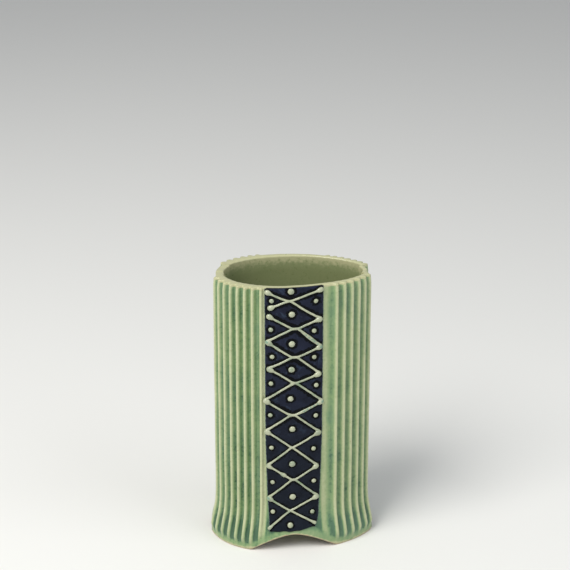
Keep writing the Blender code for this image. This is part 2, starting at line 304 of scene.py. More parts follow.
def glazeSurface(tree, grain):
    # orange peel, pinholes and fine grain
    peel = bumpNode(tree, noiseNode(tree, 900.0, 3.0, 0.5), 0.30, 0.00016)
    pits = rangeNode(tree, cellNode(tree, 620.0), 0.04, 0.16, 0.0, 1.0)
    return bumpNode(tree, grain, 0.25, 0.00006, bumpNode(tree, pits, 0.22, 0.00012, peel))


def celadonGlaze(name, look, darker=0.0):
    mat, tree, shader = newMaterial(name)
    fine = noiseNode(tree, 520.0, 5.0, 0.65)
    colour = celadonColour(tree, look, fine, darker)
    # rim and foot, where the glaze drew back
    edge = attributeNode(tree, "edgeBreak")
    edge = mathNode(tree, "ADD", edge, rangeNode(tree, fine, 0.3, 0.7, -0.22, 0.22))
    colour = mixNode(tree, rangeNode(tree, edge, 0.35, 0.85, 0.0, 0.85, True), colour, look["edge"])
    bare = clayMask(tree, fine)
    clayTone = rampNode(tree, noiseNode(tree, 1500.0, 4.0, 0.7), [
        (0.3, look["darkClay"]), (0.55, look["clay"]), (0.8, look["paleClay"]),
    ])
    colour = mixNode(tree, bare, colour, clayTone)
    # navy glaze that ran over the rim
    bleed = attributeNode(tree, "navyBleed")
    bleed = mathNode(tree, "ADD", bleed, rangeNode(tree, fine, 0.3, 0.7, -0.2, 0.2))
    colour = mixNode(tree, rangeNode(tree, bleed, 0.30, 0.6, 0.0, 0.98, True), colour, look["navy"])
    colour = ironSpecks(tree, colour, look)
    grain = noiseNode(tree, 3800.0, 2.0, 0.6)
    colour = mixNode(tree, rangeNode(tree, grain, 0.35, 0.68, 0.0, 0.16), colour, look["grain"])
    tree.links.new(colour, shader.inputs["Base Color"])
    rough = rangeNode(tree, fine, 0.3, 0.7, *look["roughness"])
    rough = mathNode(tree, "ADD", rough, mathNode(tree, "MULTIPLY", bare, 0.4), clamp=True)
    rough = mathNode(tree, "ADD", rough, rangeNode(tree, bleed, 0.3, 0.6, 0.0, 0.45), clamp=True)
    tree.links.new(rough, shader.inputs["Roughness"])
    shader.inputs["Coat Weight"].default_value = look["coat"]
    shader.inputs["Coat Roughness"].default_value = look["coatRoughness"]
    tree.links.new(glazeSurface(tree, grain), shader.inputs["Normal"])
    return mat


# walls

wallLook = {
    "ribCells": 12,
    "bandCell": 0.0010,
    "outerRows": 100,
    "innerRows": 40,
    "rimRound": 0.0011,
    "footRound": 0.0006,
    "edgePower": 0.6,
    "crestAtRim": 0.86,
    "seamGap": 0.00008,
    "fadeStart": 0.0028,
    "fadeSpan": 0.0052,
    "sway": 0.00016,
    "dip": 0.00012,
    "footSoft": 0.24,
    "leftDrop": 0.0006,
    "lumps": 0.0006,
    "poolRise": (0.0025, 0.006),
    "poolEnd": (0.010, 0.022),
    "poolDepth": 0.34,
    "tipHalf": 0.0045,
    "rimBreak": (0.0028, 0.0010),
    "mouthBreak": (0.0022, 0.0012),
    "navyRim": (0.0030, 0.0024),
    "navyHalf": (0.0160, 0.0172),
    "bareInside": (0.010, 0.013),
}


def ribRun(start, end, tall=1.0, count=None):
    # each column: place along the crest line, rib height from 0 to 1, thinness of the glaze
    count = count or max(1, round(abs(end - start) / pot["ribPitch"]))
    pitch = (end - start) / count
    cells = wallLook["ribCells"]
    columns = []
    for i in range(count * cells):
        away = abs(2.0 * ((i / cells) % 1.0) - 1.0)
        up = 1.0 - smoothStep(0.16, 0.86, away)
        thin = 0.20 + 0.76 * (1.0 - smoothStep(0.20, 0.58, away))
        columns.append((start + pitch * i / cells, tall * up, thin))
    return columns


def ridgeRun(start, end):
    # the lone flat ridge along the panel's left edge
    columns = []
    for i in range(wallLook["ribCells"]):
        share = i / wallLook["ribCells"]
        up = smoothStep(0.0, 0.36, share) * (1.0 - smoothStep(0.66, 1.0, share))
        columns.append((start + (end - start) * share, 0.6 * up, 0.10 + 0.84 * smoothStep(0.05, 0.32, share)))
    return columns


def bandRun(start, end, thin):
    steps = max(2, round(abs(end - start) / wallLook["bandCell"]))
    places = [start + (end - start) * i / steps for i in range(steps)]
    return [(place, 0.0, thin(place)) for place in places]


def sectionRows():
    # one trip round the wall's section: outer face up, over the rim, inner face down, under the foot
    steps = [i / wallLook["outerRows"] for i in range(wallLook["outerRows"])]
    outer = [("outer", 0.30 * t + 0.35 * (1.0 - math.cos(math.pi * t))) for t in steps]
    rim = [("rim", i / 10) for i in range(11)]
    innerRows = wallLook["innerRows"]
    inner = [("inner", 1.0 - ((i + 1) / innerRows) ** 0.8) for i in range(innerRows - 1)]
    foot = [("foot", i / 7) for i in range(8)]
    return outer + rim + inner + foot


def surfaceDip(length, z):
    # hand-made unevenness, only ever inwards, and none under the navy panel
    mask = smoothStep(0.018, 0.026, abs(length))
    return mask * wallLook["dip"] * (0.5 + 0.5 * wobble(length / 0.017, z / 0.030, 1))


def rimDrop(length):
    side = smoothStep(-0.5, 0.5, -math.sin(angleAt(length)))
    return wallLook["leftDrop"] * side + 0.00016 * (0.5 + 0.5 * wobble(length / 0.006, 0.0, 2))


def belowTop(spot, band, z):
    # rises from 0 to 1 between two depths below the wall's upper edge
    return smoothStep(spot.top - band[0], spot.top - band[1], z)


def faceHeight(spot):
    footRound = wallLook["footRound"]
    return spot.low + footRound + (spot.top - wallLook["rimRound"] - spot.low - footRound) * spot.share


def roundedEdge(share, start, end):
    # a soft half turn from one face of the wall to the other: the offset, and the height from 0 to 1
    turn = math.pi * share
    middle, half = 0.5 * (start + end), 0.5 * (start - end)
    power = wallLook["edgePower"]
    offset = middle + half * math.copysign(abs(math.cos(turn)) ** power, math.cos(turn))
    return offset, math.sin(turn) ** power


def outerGlaze(spot, z, fade):
    # the glaze pools over the foot and draws back from the rim and from the tips of the feet
    length, thin, over = spot.length, spot.thin, z - spot.low
    pool = smoothStep(*wallLook["poolRise"], over) * (1.0 - smoothStep(*wallLook["poolEnd"], over))
    pool *= 1.0 - thin
    deeper = 0.10 * (1.0 - smoothStep(0.01, 0.13, z))
    tone = 0.40 + (thin - 0.40) * fade
    tone -= wallLook["poolDepth"] * pool * min(1.0, 2.0 * (1.0 - thin))
    tone -= deeper * (1.0 - thin)
    tone += 0.12 * (1.0 - fade) * wobble(length / 0.004, z / 0.004, 5)
    tip = 1.0 - smoothStep(0.0, 0.0025, spot.low)
    tip *= 0.35 + 0.65 * math.exp(-(((abs(length) - pot["frontArchHalf"]) / wallLook["tipHalf"]) ** 2))
    edgeTop = 0.0019 + 0.0022 * tip + 0.0008 * wobble(length / 0.005, 0.0, 6)
    rimEdge = 0.75 * belowTop(spot, wallLook["rimBreak"], z) * (0.25 + 0.75 * thin)
    return {
        "glazeThin": tone,
        "edgeBreak": max(1.0 - smoothStep(0.0005, edgeTop, over), rimEdge),
        "bareClay": 0.9 * (1.0 - smoothStep(0.0, 0.0006 + 0.0009 * tip, over)) * tip,
        "navyBleed": spot.nearPanel * belowTop(spot, wallLook["navyRim"], z),
    }


def outerFace(spot):
    # the ribs fade out over the foot's edge and soften over the flare
    z = faceHeight(spot)
    start = wallLook["fadeStart"] + 0.0010 * wobble(spot.length / 0.0045, 3.0, 4)
    fade = smoothStep(start, start + wallLook["fadeSpan"], z - spot.low)
    fade *= 1.0 - wallLook["footSoft"] * math.exp(-(((z - 0.007) / 0.007) ** 2))
    offset = spot.groove + pot["rib"] * spot.up * fade - surfaceDip(spot.length, z)
    offset += (spot.crest - offset) * smoothStep(spot.top - 0.005, spot.top - wallLook["rimRound"], z)
    return z, offset, outerGlaze(spot, z, fade)


def rimFace(spot):
    offset, height = roundedEdge(spot.share, spot.crest, spot.inner)
    z = spot.top - wallLook["rimRound"] + wallLook["rimRound"] * height
    return z, offset, {
        "glazeThin": 0.75,
        "edgeBreak": 0.85,
        "navyBleed": spot.nearPanel * (1.0 - smoothStep(0.26, 0.36, spot.share)),
        "insideFace": 0.7 * smoothStep(0.8, 1.0, spot.share),
    }


def innerFace(spot):
    z = faceHeight(spot)
    mouth = belowTop(spot, wallLook["mouthBreak"], z)
    # painted shade on the inner face, lessening towards the mouth
    return z, spot.inner, {
        "glazeThin": 0.55 + 0.1 * wobble(spot.length / 0.01, z / 0.02, 7),
        "edgeBreak": 0.6 * mouth,
        "insideFace": 1.0 - 0.5 * mouth,
        "bareClay": 1.0 - smoothStep(*wallLook["bareInside"], z),
    }


def footFace(spot):
    footRound = wallLook["footRound"]
    outer = spot.groove - surfaceDip(spot.length, spot.low + footRound)
    offset, depth = roundedEdge(spot.share, spot.inner, outer)
    z = spot.low + footRound - footRound * depth
    return z, offset, {"glazeThin": spot.thin, "bareClay": 1.0 if spot.share < 0.9 else 0.8}


wallFaces = {"outer": outerFace, "rim": rimFace, "inner": innerFace, "foot": footFace}


def wallSpot(length, up, thin, kind, share, recess=0.0):
    # the sway of the grooves dies out at foot and rim, where the other rows meet them, and beside the panel
    sway = wallLook["sway"] * smoothStep(0.0, 0.02, abs(length) - 0.018) if kind == "outer" else 0.0
    sway *= smoothStep(0.0, 0.04, share) * smoothStep(1.0, 0.96, share)
    phi = angleAt(length + sway * wobble(length / 0.007, share / 0.14, 3))
    top = pot["top"] - rimDrop(length)
    if recess:
        top -= wallLook["lumps"] * (0.5 + 0.5 * wobble(length / 0.0026, 0.0, 19))
    groove = -pot["rib"] - recess
    spot = SimpleNamespace(length=length, up=up, thin=thin, share=share, top=top, groove=groove)
    spot.low = archAt(length)
    spot.inner = groove - (pot["wall"] - pot["wallSkew"] * math.sin(phi))
    spot.crest = groove + pot["rib"] * wallLook["crestAtRim"] * up - surfaceDip(length, top)
    spot.nearPanel = 1.0 - smoothStep(*wallLook["navyHalf"], abs(length))
    z, offset, marks = wallFaces[kind](spot)
    return planPoint(phi, z, offset), marks


wallMarks = ("glazeThin", "edgeBreak", "bareClay", "insideFace", "navyBleed")


def wallPiece(name, columns, mat, node, recess=0.0):
    rows = sectionRows()
    across, around = len(columns) - 1, len(rows) - 1
    bm = bmesh.new()
    bmesh.ops.create_grid(bm, x_segments=across, y_segments=around, size=1.0)
    layers = {key: bm.verts.layers.float.new(key) for key in wallMarks}
    for vert in bm.verts:
        column = columns[round((vert.co.x + 1.0) * 0.5 * across)]
        row = rows[round((vert.co.y + 1.0) * 0.5 * around)]
        vert.co, marks = wallSpot(*column, *row, recess)
        for key, value in marks.items():
            vert[layers[key]] = value
    bmesh.ops.remove_doubles(bm, verts=bm.verts, dist=2e-6)
    ends = [edge for edge in bm.edges if edge.is_boundary]
    for edge in ends:
        edge.smooth = False
    caps = bmesh.ops.edgeloop_fill(bm, edges=ends)["faces"]
    print(name, "closed by", len(caps), "end faces")
    for face in bm.faces:
        face.smooth = True
    bmesh.ops.triangulate(bm, faces=caps)
    return pieceFrom(name, bm, mat, [node])


def frontBandThin(length):
    # pale flat margin beside the panel, then a wider jade groove
    if length < 0.0:
        return 0.30 + 0.55 * smoothStep(0.0160, 0.0166, -length)
    return 0.30 + 0.40 * smoothStep(0.0164, 0.0172, length) - 0.42 * smoothStep(0.0188, 0.0212, length)


frontColumns = ribRun(-leftBand[0], -frontBandLeft)
frontColumns += ribRun(-frontBandLeft, -ridgeOuter, 0.0, 1)[:3]
frontColumns += ridgeRun(-ridgeOuter, -ridgeInner)
frontColumns += bandRun(-ridgeInner, frontBandRight, frontBandThin)
frontColumns += ribRun(frontBandRight, rightBand[0])
frontColumns.append((rightBand[0], 0.0, 0.1))
frontWall = wallPiece("frontWall", frontColumns, celadonGlaze("celadonFront", celadonLook),
                      "front_wall")

backColumns = ribRun(rightBand[1], backLength - backBandRight)
backColumns += bandRun(backLength - backBandRight, backLength, lambda length: 0.5)
backColumns += bandRun(-backLength, backBandLeft - backLength, lambda length: 0.5)
backColumns += ribRun(backBandLeft - backLength, -leftBand[1])
backColumns.append((-leftBand[1], 0.0, 0.1))
backWall = wallPiece("backWall", backColumns, celadonGlaze("celadonBack", celadonLook),
                     "back_wall")


def seamBand(name, band, side, recess, node, thin):
    start = side * (band[0] + wallLook["seamGap"])
    end = side * (band[1] - wallLook["seamGap"])
    columns = bandRun(start, end, lambda length: thin)
    columns.append((end, 0.0, thin))
    wallPiece(name, columns, celadonGlaze(name + "Glaze", celadonLook, 0.02), node, recess)


seamBand("leftSeamBand", leftBand, -1.0, pot["leftRecess"], "left_seam_band", 0.62)
seamBand("rightSeamBand", rightBand, 1.0, pot["rightRecess"], "right_seam_band", 0.55)
print("walls made:", len(frontWall.data.polygons) + len(backWall.data.polygons), "faces")

# floor: the CAD slab and coil keep their shape and get a glaze, darkened to a dark olive as painted shade
# inside the pot

insideLook = {
    "base": (0.23, 0.25, 0.11),
    "pool": (0.10, 0.14, 0.06),
    "pale": (0.36, 0.38, 0.20),
    "roughness": (0.28, 0.5),
    "coat": 0.25,
}


def floorGlaze(name, look):
    mat, tree, shader = newMaterial(name)
    broad = noiseNode(tree, 90.0, 4.0, 0.6)
    fine = noiseNode(tree, 900.0, 4.0, 0.6)
    level = rangeNode(tree, broad, 0.3, 0.7)
    level = mathNode(tree, "ADD", level, rangeNode(tree, fine, 0.3, 0.7, -0.2, 0.2), clamp=True)
    colour = rampNode(tree, level, [(0.0, look["pool"]), (0.5, look["base"]), (1.0, look["pale"])])
    tree.links.new(colour, shader.inputs["Base Color"])
    tree.links.new(rangeNode(tree, fine, 0.3, 0.7, *look["roughness"]), shader.inputs["Roughness"])
    shader.inputs["Coat Weight"].default_value = look["coat"]
    peel = bumpNode(tree, noiseNode(tree, 400.0, 3.0), 0.4, 0.0003)
    tree.links.new(bumpNode(tree, fine, 0.3, 0.0001, peel), shader.inputs["Normal"])
    return mat


for nodeName in ("floor_slab", "floor_coil"):
    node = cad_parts[nodeName]
    node.data.materials.clear()
    node.data.materials.append(floorGlaze(nodeName + "Glaze", insideLook))

# lattice positions: the CAD's rows, moved to where the hand put them (millimetres)

panelLow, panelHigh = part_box("navy_panel")
lattice = {
    "nodeOut": 14.8,
    "lineHalf": 1.05,
    "crossings": [(-2.6, 3.3), (0.7, 2.8), (0.3, 3.0), (0.4, 5.3), (-0.7, 4.1), (-1.0, 2.9), (-0.1, 2.0),
                  (-1.9, 1.6)],
    "left": [(-0.7, 1.2), (0.3, 2.0), (-0.4, 3.8), (0.3, 5.3), (-1.8, 3.9), (-1.2, 3.7), (-0.4, 1.2),
             (0.0, 0.5), (0.1, 0.2)],
    "right": [(0.8, 1.7), (0.2, -0.9), (0.4, -0.5), (-0.1, 0.8), (1.5, 1.8), (0.0, 1.6), (-1.1, -0.2),
              (-0.7, 0.1), (-1.9, 2.2)],
    "centreBeads": [(-0.8, 1.0), (-0.3, 2.9), (-0.2, 2.3), (-0.4, 4.5), (-1.0, 4.9), (0.1, 4.8),
                    (0.1, 2.1), (0.4, 0.9), (-1.0, 2.5)],
    "leftBeads": [(0.0, 2.6), (-0.6, 2.4), (0.0, 3.5), (-0.8, 5.2), (-1.4, 4.2), (-0.9, 2.9), (-0.5, 0.6),
                  (-0.5, 1.9)],
    "rightBeads": [(-0.4, 1.6), (-1.2, 0.8), (-0.9, 2.3), (0.5, 3.0), (0.5, 2.7), (-0.5, 1.1), (-0.1, 0.1),
                   (-0.7, 0.6)],
}


def nudged(spot, shift):
    return Vector((spot.x + shift[0] * mm, spot.z + shift[1] * mm))


crossBoxes = [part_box(f"lattice_cross_{i}") for i in range(1, 9)]
rowHeights = [crossBoxes[0][1].z - lattice["lineHalf"] * mm]
rowHeights += [0.5 * (crossBoxes[i][0].z + crossBoxes[i + 1][1].z) for i in range(7)]
rowHeights.append(crossBoxes[7][0].z + lattice["lineHalf"] * mm)
nodeOut = lattice["nodeOut"] * mm
leftNodes = [nudged(Vector((-nodeOut, 0, z)), shift) for z, shift in zip(rowHeights, lattice["left"])]
rightNodes = [nudged(Vector((nodeOut, 0, z)), shift) for z, shift in zip(rowHeights, lattice["right"])]
crossings = [nudged(Vector((0.0, 0.0, 0.5 * (rowHeights[i] + rowHeights[i + 1]))), shift)
             for i, shift in enumerate(lattice["crossings"])]

beadSpots = []
for kind, key in (("centre", "centreBeads"), ("left", "leftBeads"), ("right", "rightBeads")):
    for i, shift in enumerate(lattice[key]):
        name = f"{kind}_bead_{i + 1}"
        low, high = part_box(name)
        beadSpots.append((name, nudged(0.5 * (low + high), shift), 0.5 * (high.z - low.z)))

# navy panel: a glossy sheet of glaze with soft uneven edges, blackest round the slip, where the glaze pools
# and where shadow is painted

panelLook = {
    "across": 92,
    "up": 400,
    "lift": 0.0003,
    "thick": 0.0007,
    "edgeRound": 0.0008,
    "underRim": 0.00025,
    "black": (0.0006, 0.0008, 0.0014),
    "navy": (0.0110, 0.0150, 0.0250),
    "slate": (0.0165, 0.0205, 0.0420),
    "skyReflection": (0.0330, 0.0520, 0.0850),
    "rimBlue": (0.1400, 0.2000, 0.2100),
    "grain": (0.10, 0.12, 0.15),
    "roughness": (0.10, 0.24),
    "specular": 0.08,
    "poolShadowReach": 0.0030,
    "linePart": 0.0006,
    "dropPart": 0.0013,
}


def panelHalf(z):
    return 0.5 * (panelHigh.x - panelLow.x) - 0.0026 * max(0.0, 1.0 - z / 0.080) ** 1.5


def bandTop(x):
    # the wall's upper edge over the front band
    phi = math.asin(x / (pot["halfWidth"] - pot["rib"]))
    return pot["top"] - rimDrop(math.copysign(float(np.interp(abs(phi), turnAt, lengthAt)), phi))


def rimFall(z, top):
    # how far the rounded rim has fallen back from the band's face
    t = min(1.0, max(0.0, (z - top) / wallLook["rimRound"] + 1.0))
    sine = t ** (1.0 / wallLook["edgePower"])
    return 0.5 * pot["wall"] * (1.0 - math.sqrt(max(0.0, 1.0 - sine * sine)) ** wallLook["edgePower"])


def arms(i):
    # the four arms of one crossing, each from the crossing to its node; the first misses its lower left node
    lowerLeft = leftNodes[i + 1] + (Vector((0.5, 4.4)) * mm if i == 0 else Vector((0.0, 0.0)))
    return [leftNodes[i], rightNodes[i], lowerLeft, rightNodes[i + 1]]


def segmentDistance(points, start, end):
    along = np.array(end - start)
    away = points - np.array(start)
    share = np.clip(away @ along / (along @ along), 0.0, 1.0)
    return np.linalg.norm(away - share[:, None] * along, axis=1)


def slipDistance(points):
    # how far each point of the panel is from the nearest line, bead or drop of slip
    nearest = np.full(len(points), 1.0)
    for i, centre in enumerate(crossings):
        for end in arms(i):
            nearest = np.minimum(nearest, segmentDistance(points, centre, end) - panelLook["linePart"])
    rounds = [(spot, radius) for name, spot, radius in beadSpots]
    rounds += [(node, panelLook["dropPart"]) for node in leftNodes + rightNodes]
    for spot, radius in rounds:
        nearest = np.minimum(nearest, np.linalg.norm(points - np.array(spot), axis=1) - radius)
    return nearest


def panelPlace(u, v):
    # where a point of the square grid lies on the panel, with its soft, uneven edges
    z = panelLow.z + (panelHigh.z - panelLow.z) * 0.5 * (v + 1.0)
    reach = panelHalf(z)
    z += (bandTop(u * reach) - panelLook["underRim"] - panelHigh.z) * smoothStep(0.8, 1.0, v)
    side = 1.0 if u > 0.0 else -1.0
    slow, quick = wobble(z / 0.0045, side, 8), wobble(z / 0.0014, side, 9)
    ragged = 0.00028 * (0.5 + 0.5 * slow) + 0.00022 * (0.5 + 0.5 * quick)
    if u > 0.0:
        ragged += 0.0012 * smoothStep(0.010, 0.0, z - panelLow.z)
    x = u * (reach - ragged)
    lower = 0.0009 * (0.5 + 0.5 * wobble(x / 0.004, 0.0, 10)) + 0.0016 * smoothStep(0.002, 0.012, x)
    z += lower * smoothStep(0.9, 1.0, -v)
    return x, z, (reach - ragged) * (1.0 - abs(u))


def navyPanel():
    look = panelLook
    bm = bmesh.new()
    bmesh.ops.create_grid(bm, x_segments=look["across"], y_segments=look["up"], size=1.0)
    poolShadow = bm.verts.layers.float.new("slipPoolShadow")
    rim = bm.verts.layers.float.new("panelEdge")
    back = bm.verts.layers.float.new("backLift")
    flat = []
    for vert in bm.verts:
        x, z, sideways = panelPlace(vert.co.x, vert.co.y)
        edge = min(sideways, (1.0 - abs(vert.co.y)) * 0.5 * (panelHigh.z - panelLow.z))
        vert.co = Vector((x, z, edge))
        vert[rim] = 1.0 - smoothStep(0.0, 0.0009, sideways)
        flat.append((x, z))
    for vert, away in zip(bm.verts, slipDistance(np.array(flat))):
        x, z, edge = vert.co
        # pooled glaze and painted shadow round the slip, fading with distance from it
        vert[poolShadow] = 1.0 - min(1.0, max(0.0, away / look["poolShadowReach"]))
        rounded = math.sqrt(max(0.0, 1.0 - (1.0 - min(1.0, edge / look["edgeRound"])) ** 2))
        swell = 0.00008 * wobble(x / 0.004, z / 0.004, 12)
        swell -= 0.00010 * (1.0 - smoothStep(0.0003, 0.0012, away))
        fall = rimFall(z, bandTop(x))
        vert.co.z = look["lift"] + 0.0001 + (look["thick"] - 0.0002 + swell) * rounded - fall
        vert[back] = look["lift"] - fall
    under = bmesh.ops.extrude_face_region(bm, geom=bm.faces[:])
    for item in under["geom"]:
        if isinstance(item, bmesh.types.BMVert):
            item.co.z = item[back]
    for vert in bm.verts:
        vert.co = frontPoint(vert.co.x, vert.co.y, vert.co.z)
    for face in bm.faces:
        face.smooth = True
    return pieceFrom("navyPanel", bm, navyGlaze(look), ["navy_panel"])


def navyGlaze(look):
    mat, tree, shader = newMaterial("navyGlaze")
    poolShadow = attributeNode(tree, "slipPoolShadow")
    rim = attributeNode(tree, "panelEdge")
    broad = noiseNode(tree, 110.0, 4.0, 0.6, 0.4)
    fine = noiseNode(tree, 900.0, 4.0, 0.7)
    height = addNode(tree, "SeparateXYZ")
    tree.links.new(addNode(tree, "TexCoord").outputs["Object"], height.inputs[0])
    # painted reflection: the upper part of the panel is a lighter slate blue
    upper = rangeNode(tree, height.outputs["Z"], 0.04, 0.13, 0.0, 1.0, True)
    field = mixNode(tree, upper, look["navy"], look["slate"])
    colour = mixNode(tree, rangeNode(tree, broad, 0.30, 0.66, 0.55, 0.0), field, look["black"])
    # painted reflection: brighter blue patches near the top, where the sky would mirror in the gloss
    skyReflection = rangeNode(tree, noiseNode(tree, 190.0, 3.0, 0.6, 0.8), 0.56, 0.70, 0.0, 0.7, True)
    colour = mixNode(tree, mathNode(tree, "MULTIPLY", skyReflection, upper), colour, look["skyReflection"])
    # black, with a ragged border, round the slip: partly the glaze thickening there, partly painted shadow
    # cast by the raised slip
    border = rangeNode(tree, noiseNode(tree, 620.0, 3.0, 0.6), 0.3, 0.7, -0.22, 0.22)
    ragged = mathNode(tree, "ADD", poolShadow, border)
    ragged = mathNode(tree, "ADD", ragged, rangeNode(tree, upper, 0.0, 1.0, -0.14, 0.06))
    colour = mixNode(tree, rangeNode(tree, ragged, 0.46, 0.62, 0.0, 0.96, True), colour, look["black"])
    edge = mathNode(tree, "ADD", rim, rangeNode(tree, fine, 0.3, 0.7, -0.25, 0.25))
    colour = mixNode(tree, rangeNode(tree, edge, 0.55, 1.0, 0.0, 0.8, True), colour, look["rimBlue"])
    grain = noiseNode(tree, 3000.0, 2.0, 0.6)
    colour = mixNode(tree, rangeNode(tree, grain, 0.55, 0.75, 0.0, 0.10), colour, look["grain"])
    tree.links.new(colour, shader.inputs["Base Color"])
    tree.links.new(rangeNode(tree, fine, 0.3, 0.7, *look["roughness"]), shader.inputs["Roughness"])
    shader.inputs["Specular IOR Level"].default_value = look["specular"]
    ripple = bumpNode(tree, noiseNode(tree, 260.0, 2.0, 0.5), 0.35, 0.00035)
    tree.links.new(bumpNode(tree, fine, 0.3, 0.00010, ripple), shader.inputs["Normal"])
    return mat


navy = navyPanel()
print("navy panel made:", len(navy.data.polygons), "faces")

# trailed slip: lines that swell into drops where they end, and domed beads

slipLook = {
    "line": 0.64,
    "hub": 0.80,
    "drop": (1.35, 1.95),
    "sharedDrop": 0.95,
    "lastDrop": 1.0,
    "tail": 3.2,
    "lumps": {(1, 3): (0.55, 0.35, 0.42), (4, 1): (0.35, 0.20, 0.28), (6, 0): (0.36, 0.09, 0.65),
              (3, 2): (0.0, 0.12, 0.30), (4, 0): (0.0, 0.10, 0.25), (2, 0): (0.6, 0.10, 0.15)},
    "greenArms": ((1, 3), (4, 1)),
    "greenLeft": (2, 7),
    "greenRight": (2, 4),
    "bars": (0.7, 1.5, 1.5, 0.8, 1.2, 0.4, 1.0, 0.25),
    "voxel": 0.13,
    "lift": 1.00,
    "sink": 0.12,
    "rise": 0.80,
    "pale": (0.400, 0.430, 0.290),
    "green": (0.230, 0.320, 0.180),
    "grey": (0.310, 0.355, 0.250),
    "white": (0.500, 0.515, 0.370),
    "skirt": (0.060, 0.095, 0.075),
    "teal": (0.150, 0.290, 0.210),
    "speck": (0.25, 0.22, 0.12),
    "roughness": (0.24, 0.42),
    "coat": 0.35,
    "coatRoughness": 0.10,
}


def slipGlaze(name, look, seed):
    mat, tree, shader = newMaterial(name)
    broad = noiseNode(tree, 170.0 + seed, 3.0, 0.6)
    fine = noiseNode(tree, 1100.0, 4.0, 0.65)
    level = mathNode(tree, "ADD", broad, rangeNode(tree, fine, 0.3, 0.7, -0.10, 0.10), clamp=True)
    colour = rampNode(tree, level, [
        (0.28, look["green"]), (0.38, look["grey"]), (0.50, look["pale"]), (0.72, look["white"]),
    ])
    skirt = attributeNode(tree, "slipSkirt")
    colour = mixNode(tree, rangeNode(tree, skirt, 0.3, 1.0, 0.0, 0.80, True), colour, look["skirt"])
    tint = attributeNode(tree, "greenPool")
    colour = mixNode(tree, rangeNode(tree, tint, 0.2, 0.9, 0.0, 0.8, True), colour, look["teal"])
    speck = rangeNode(tree, cellNode(tree, 700.0), 0.05, 0.14, 0.5, 0.0, True)
    colour = mixNode(tree, speck, colour, look["speck"])
    tree.links.new(colour, shader.inputs["Base Color"])
    tree.links.new(rangeNode(tree, fine, 0.3, 0.7, *look["roughness"]), shader.inputs["Roughness"])
    shader.inputs["Coat Weight"].default_value = look["coat"]
    shader.inputs["Coat Roughness"].default_value = look["coatRoughness"]
    peel = bumpNode(tree, noiseNode(tree, 1300.0, 3.0, 0.5), 0.30, 0.00010)
    tree.links.new(peel, shader.inputs["Normal"])
    return mat


def slipOnPanel(bm, name, mat, node, pools=()):
    # flat work in millimetres, z is lift: cut level with the glaze, then laid on the front band
    geom = bm.verts[:] + bm.edges[:] + bm.faces[:]
    base = slipLook["lift"] - slipLook["sink"]
    bmesh.ops.bisect_plane(bm, geom=geom, plane_co=(0, 0, base), plane_no=(0, 0, -1), clear_outer=True,
                           dist=1e-4)
    bmesh.ops.holes_fill(bm, edges=[edge for edge in bm.edges if edge.is_boundary], sides=0)
    skirt = bm.verts.layers.float.new("slipSkirt")
    pool = bm.verts.layers.float.new("greenPool")
    for face in bm.faces:
        face.smooth = True
    for vert in bm.verts:
        vert[skirt] = 1.0 - smoothStep(base + 0.05, base + 0.32, vert.co.z)
        vert[pool] = max([1.0 - smoothStep(0.25 * r, r, math.hypot(vert.co.x - x, vert.co.y - z))
                          for x, z, r in pools] or [0.0])
        vert.co = frontPoint(vert.co.x * mm, vert.co.y * mm, vert.co.z * mm)
    pieceFrom(name, bm, mat, [node])


def dropChain(bm, start, end, radii, seed):
    # drops of slip set close along a line, which bows a little
    length = (end - start).length
    steps = max(1, int(length / 0.24))
    side = Vector((start.y - end.y, end.x - start.x)).normalized()
    bow = 0.35 * noise.noise(Vector((seed * 3.7, 1.3, 0.0)))
    for i in range(steps + 1):
        share = i / steps
        radius = radii(share * length, length) * (1.0 + 0.10 * wobble(share * length / 1.8, seed, 13))
        spot = start.lerp(end, share) + side * (bow * math.sin(math.pi * share) * length / 12
                                                + 0.10 * wobble(share * length / 2.6, seed, 14))
        made = bmesh.ops.create_icosphere(bm, subdivisions=2, radius=radius)["verts"]
        bmesh.ops.scale(bm, vec=(1.0, 1.0, slipLook["rise"]), verts=made)
        bmesh.ops.translate(bm, vec=(spot.x, spot.y, slipLook["lift"]), verts=made)


def armRadius(drop, lump):
    # a thin line that widens at the crossing and swells into a drop at its end
    def radius(along, length):
        hub = (slipLook["hub"] - slipLook["line"]) * (1.0 - smoothStep(0.0, 1.6, along))
        back = length - along
        swell = (drop - slipLook["line"]) * (1.0 - smoothStep(0.2, slipLook["tail"], back))
        place, width, height = lump  # place and width are shares of the line's length
        extra = height * math.exp(-(((along / length - place) / width) ** 2))
        return slipLook["line"] + hub + swell + extra
    return radius


def fusedMesh(bm, voxel):
    # the overlapping drops run together into one skin
    mesh = bpy.data.meshes.new("slipDrops")
    bm.to_mesh(mesh)
    bm.free()
    loose = bpy.data.objects.new("slipDrops", mesh)
    bpy.context.scene.collection.objects.link(loose)
    remesh = loose.modifiers.new("fuse", "REMESH")
    remesh.mode = "VOXEL"
    remesh.voxel_size = voxel
    view = bpy.context.evaluated_depsgraph_get()
    fused = bmesh.new()
    fused.from_mesh(loose.evaluated_get(view).to_mesh())
    bpy.data.objects.remove(loose)
    bpy.data.meshes.remove(mesh)
    for _ in range(3):
        bmesh.ops.smooth_vert(fused, verts=fused.verts, factor=0.5,
                              use_axis_x=True, use_axis_y=True, use_axis_z=True)
    return fused


def endDrop(i, k):
    # the width of the drop that ends an arm; a shared node's full drop belongs to the crossing below it
    if k > 1 and i == 7:
        return slipLook["lastDrop"]
    if k == 3 or (k == 2 and i > 0):
        return slipLook["sharedDrop"]
    low, high = slipLook["drop"]
    return low + (high - low) * (0.5 + 0.5 * wobble(i * 4 + k, 0.5, 15))


